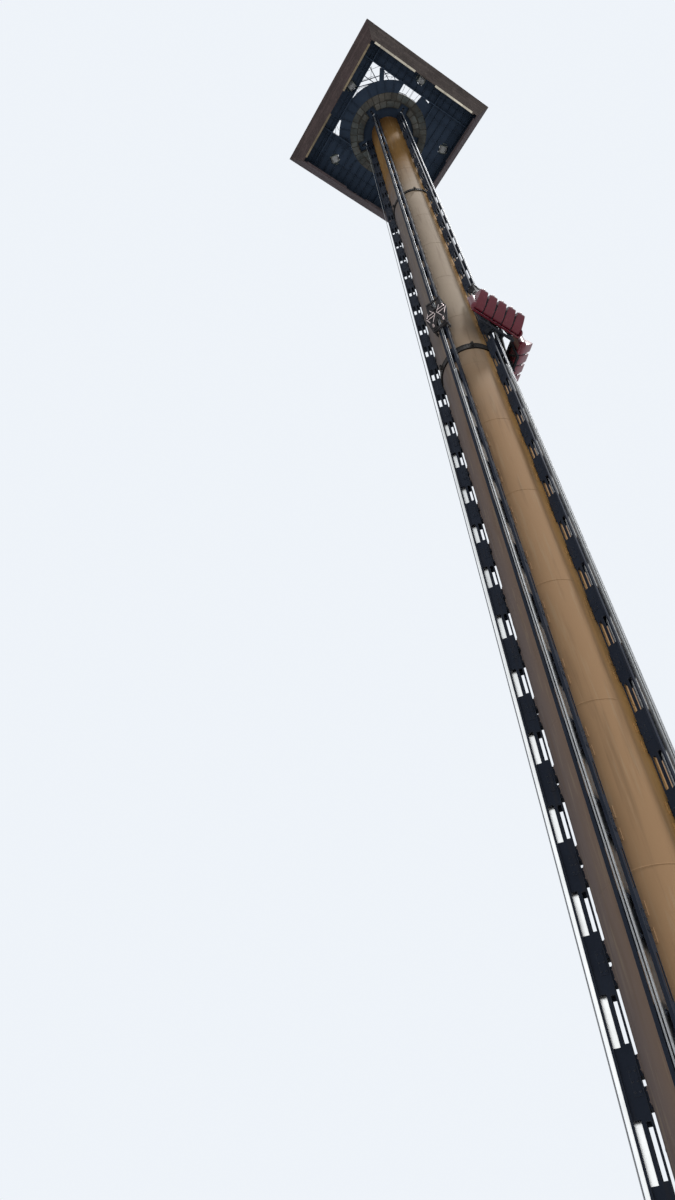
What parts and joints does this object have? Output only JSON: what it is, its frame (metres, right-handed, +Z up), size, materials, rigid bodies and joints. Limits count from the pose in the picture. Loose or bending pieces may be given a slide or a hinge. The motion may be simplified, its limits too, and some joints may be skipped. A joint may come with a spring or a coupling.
{
  "type": "drop tower ride scale model",
  "caption": "Tall round mast with lattice guide tracks, seated gondolas that climb and drop along them on lift cars, and a square flared crown with rope hoists.",
  "frame": {"origin": "centre of the mast on the underside of the base plate", "axes": "+Z up along the mast, +X out through the middle of the first guide track"},
  "size_m": [1.377, 1.377, 10],
  "materials": {
    "foot": "satin",
    "mast": "satin",
    "bands": "satin",
    "track": "satin",
    "fins": "brushed",
    "rope": "wire",
    "stone": "weathered",
    "crown_steel": "satin",
    "fascia": "weathered",
    "hoist": "satin",
    "carriage": "satin",
    "shell": "gloss",
    "seat": "satin"
  },
  "bodies": {
    "tower": {"base_plate": "foot", "mast_lower": "mast", "mast_middle": "mast", "mast_upper": "mast", "ring_bands": "bands", "track_1": "track", "track_2": "track", "track_3": "track", "track_4": "track", "track_5": "track", "brake_fins": "fins", "lift_ropes": "rope", "rope_anchors": "foot", "stone_ring": "stone", "drum_house": "crown_steel", "rope_covers": "crown_steel", "head_sheaves": "crown_steel", "deck": "crown_steel", "deck_beams": "crown_steel", "fascia_east": "fascia", "fascia_north": "fascia", "fascia_west": "fascia", "fascia_south": "fascia", "hoists": "hoist"},
    "lift_car_1": {"lift_car_1": "carriage"},
    "gondola_1": {"carriage_1": "carriage", "shell_1": "shell", "seats_1": "seat"},
    "lift_car_2": {"lift_car_2": "carriage"},
    "gondola_2": {"carriage_2": "carriage", "shell_2": "shell", "seats_2": "seat"},
    "lift_car_3": {"lift_car_3": "carriage"},
    "gondola_3": {"carriage_3": "carriage", "shell_3": "shell", "seats_3": "seat"},
    "lift_car_4": {"lift_car_4": "carriage"},
    "gondola_4": {"carriage_4": "carriage", "shell_4": "shell", "seats_4": "seat"},
    "lift_car_5": {"lift_car_5": "carriage"},
    "gondola_5": {"carriage_5": "carriage", "shell_5": "shell", "seats_5": "seat"}
  },
  "joints": [
    {"name": "gondola_1_travel", "type": "slide", "parent": "tower", "child": "gondola_1", "axis": [0, 0, 1], "range_m": [-4.7, 4.44]},
    {"name": "lift_car_1_travel", "type": "slide", "parent": "tower", "child": "lift_car_1", "axis": [0, 0, 1], "range_m": [-4.7, 4.44]},
    {"name": "gondola_2_travel", "type": "slide", "parent": "tower", "child": "gondola_2", "axis": [0, 0, 1], "range_m": [-4.7, 4.44]},
    {"name": "lift_car_2_travel", "type": "slide", "parent": "tower", "child": "lift_car_2", "axis": [0, 0, 1], "range_m": [-4.7, 4.44]},
    {"name": "gondola_3_travel", "type": "slide", "parent": "tower", "child": "gondola_3", "axis": [0, 0, 1], "range_m": [0, 9.14]},
    {"name": "lift_car_3_travel", "type": "slide", "parent": "tower", "child": "lift_car_3", "axis": [0, 0, 1], "range_m": [0, 9.14]},
    {"name": "gondola_4_travel", "type": "slide", "parent": "tower", "child": "gondola_4", "axis": [0, 0, 1], "range_m": [0, 9.14]},
    {"name": "lift_car_4_travel", "type": "slide", "parent": "tower", "child": "lift_car_4", "axis": [0, 0, 1], "range_m": [0, 9.14]},
    {"name": "gondola_5_travel", "type": "slide", "parent": "tower", "child": "gondola_5", "axis": [0, 0, 1], "range_m": [0, 4.56]},
    {"name": "lift_car_5_travel", "type": "slide", "parent": "tower", "child": "lift_car_5", "axis": [0, 0, 1], "range_m": [-4.56, 4.57]}
  ],
  "couplings": [
    {"joint": "lift_car_1_travel", "follows": "gondola_1_travel", "ratio": 1},
    {"joint": "lift_car_2_travel", "follows": "gondola_2_travel", "ratio": 1},
    {"joint": "lift_car_3_travel", "follows": "gondola_3_travel", "ratio": 1},
    {"joint": "lift_car_4_travel", "follows": "gondola_4_travel", "ratio": 1}
  ]
}
